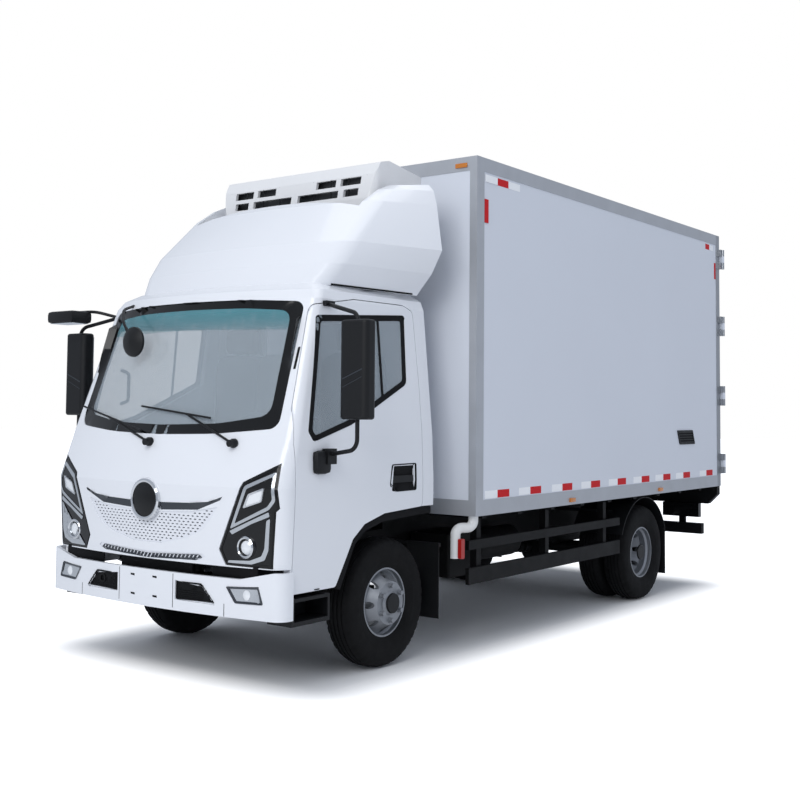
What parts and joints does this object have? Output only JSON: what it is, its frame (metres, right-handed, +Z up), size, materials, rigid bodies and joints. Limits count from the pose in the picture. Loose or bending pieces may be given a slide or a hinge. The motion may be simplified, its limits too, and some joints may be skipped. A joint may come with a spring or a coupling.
{
  "type": "refrigerated truck",
  "caption": "Light refrigerated truck: ladder chassis, tilting cab with roof air deflector, insulated box body with a nose-mounted cooling unit and double rear doors.",
  "frame": {"origin": "on the ground, below the middle of the overall length and width", "axes": "+Z up; the truck's front faces -Y; +X is the driver's (left) side"},
  "size_m": [2.564, 5.995, 3.185],
  "materials": {
    "white_paint": "gloss white paint",
    "box_skin": "smooth white laminate",
    "cargo_floor": "plain plate",
    "unit_plastic": "moulded white plastic",
    "coil_metal": "dark finned coil",
    "trim_aluminium": "satin",
    "stainless_steel": "brushed",
    "chassis_paint": "satin black paint",
    "cast_metal": "as cast",
    "wheel_paint": "silver paint",
    "tyre_rubber": "matt black",
    "black_plastic": "grained black",
    "cab_floor_mat": "dark mat",
    "grille_white": "gloss white",
    "lamp_plastic": "clear cover over a dark housing",
    "tinted_glass": "lightly tinted",
    "seat_cloth": "grey woven cloth",
    "pipe_plastic": "white pipe",
    "red_plastic": "red lever"
  },
  "bodies": {
    "chassis": {"ladder_frame": "chassis_paint", "axles": "chassis_paint", "leaf_springs": "chassis_paint", "engine_and_gearbox": "cast_metal", "propeller_shaft": "chassis_paint", "chassis_tanks": "trim_aluminium", "front_bumper": "white_paint", "lamps": "lamp_plastic", "front_steps": "black_plastic", "box_underframe": "chassis_paint", "box_floor": "cargo_floor", "box_side_walls": "box_skin", "box_front_wall": "box_skin", "box_roof": "box_skin", "edge_profiles": "trim_aluminium", "rear_door_frame": "stainless_steel", "rear_underrun_bar": "chassis_paint", "cooling_unit_housing": "unit_plastic", "cooling_unit_coil": "coil_metal", "evaporator": "box_skin", "side_guards": "chassis_paint", "mudguards": "black_plastic", "drain_pipe": "pipe_plastic", "drain_valve": "red_plastic", "frame_crossmembers": "chassis_paint", "box_bearers": "chassis_paint"},
    "cab": {"cab_shell": "white_paint", "cab_floor": "cab_floor_mat", "front_panel": "white_paint", "grille": "grille_white", "headlamps": "lamp_plastic", "cab_glass": "tinted_glass", "wipers": "black_plastic", "dashboard": "black_plastic", "steering_wheel": "black_plastic", "cab_seats": "seat_cloth", "air_deflector": "white_paint", "arch_liners": "black_plastic"},
    "cab_door_left": {"cab_door_left": "white_paint", "cab_door_glass_left": "tinted_glass", "door_mirror_left": "black_plastic"},
    "cab_door_right": {"cab_door_right": "white_paint", "cab_door_glass_right": "tinted_glass", "door_mirror_right": "black_plastic"},
    "rear_door_left": {"rear_door_left": "box_skin", "rear_door_lock_left": "stainless_steel"},
    "rear_door_right": {"rear_door_right": "box_skin", "rear_door_lock_right": "stainless_steel"},
    "knuckle_left": {"knuckle_left": "chassis_paint"},
    "knuckle_right": {"knuckle_right": "chassis_paint"},
    "tie_rod": {"tie_rod": "chassis_paint"},
    "wheel_front_left": {"wheel_front_left": "wheel_paint", "tyre_front_left": "tyre_rubber"},
    "wheel_front_right": {"wheel_front_right": "wheel_paint", "tyre_front_right": "tyre_rubber"},
    "wheel_rear_left": {"wheel_rear_left": "wheel_paint", "tyres_rear_left": "tyre_rubber"},
    "wheel_rear_right": {"wheel_rear_right": "wheel_paint", "tyres_rear_right": "tyre_rubber"}
  },
  "joints": [
    {"name": "cab_tilt", "type": "hinge", "parent": "chassis", "child": "cab", "pos_m": [0, -2.7275, 0.778], "axis": [1, 0, 0], "range_deg": [0, 45]},
    {"name": "cab_door_left_hinge", "type": "hinge", "parent": "cab", "child": "cab_door_left", "pos_m": [0.955, -2.7925, 1.3], "axis": [0, 0, -1], "range_deg": [0, 70]},
    {"name": "cab_door_right_hinge", "type": "hinge", "parent": "cab", "child": "cab_door_right", "pos_m": [-0.955, -2.7925, 1.3], "axis": [0, 0, 1], "range_deg": [0, 70]},
    {"name": "rear_door_left_hinge", "type": "hinge", "parent": "chassis", "child": "rear_door_left", "pos_m": [1.145, 2.9825, 2], "axis": [0, 0, -1], "range_deg": [0, 270]},
    {"name": "rear_door_right_hinge", "type": "hinge", "parent": "chassis", "child": "rear_door_right", "pos_m": [-1.145, 2.9825, 2], "axis": [0, 0, 1], "range_deg": [0, 270]},
    {"name": "steer_left", "type": "hinge", "parent": "chassis", "child": "knuckle_left", "pos_m": [0.718, -1.8775, 0.385], "axis": [0, 0, 1], "range_deg": [-35, 35]},
    {"name": "steer_right", "type": "hinge", "parent": "chassis", "child": "knuckle_right", "pos_m": [-0.718, -1.8775, 0.385], "axis": [0, 0, 1], "range_deg": [-35, 35]},
    {"name": "tie_rod_pin", "type": "hinge", "parent": "knuckle_left", "child": "tie_rod", "pos_m": [0.718, -1.7625, 0.28], "axis": [0, 0, 1], "range_deg": [-35, 35]},
    {"name": "wheel_front_left_spin", "type": "hinge", "parent": "knuckle_left", "child": "wheel_front_left", "pos_m": [0.809, -1.8775, 0.385], "axis": [1, 0, 0], "continuous": true},
    {"name": "wheel_front_right_spin", "type": "hinge", "parent": "knuckle_right", "child": "wheel_front_right", "pos_m": [-0.809, -1.8775, 0.385], "axis": [1, 0, 0], "continuous": true},
    {"name": "wheel_rear_left_spin", "type": "hinge", "parent": "chassis", "child": "wheel_rear_left", "pos_m": [0.8135, 1.4825, 0.385], "axis": [1, 0, 0], "continuous": true},
    {"name": "wheel_rear_right_spin", "type": "hinge", "parent": "chassis", "child": "wheel_rear_right", "pos_m": [-0.8135, 1.4825, 0.385], "axis": [1, 0, 0], "continuous": true}
  ],
  "couplings": [
    {"joint": "steer_right", "follows": "steer_left", "ratio": 1},
    {"joint": "tie_rod_pin", "follows": "steer_left", "ratio": -1}
  ]
}
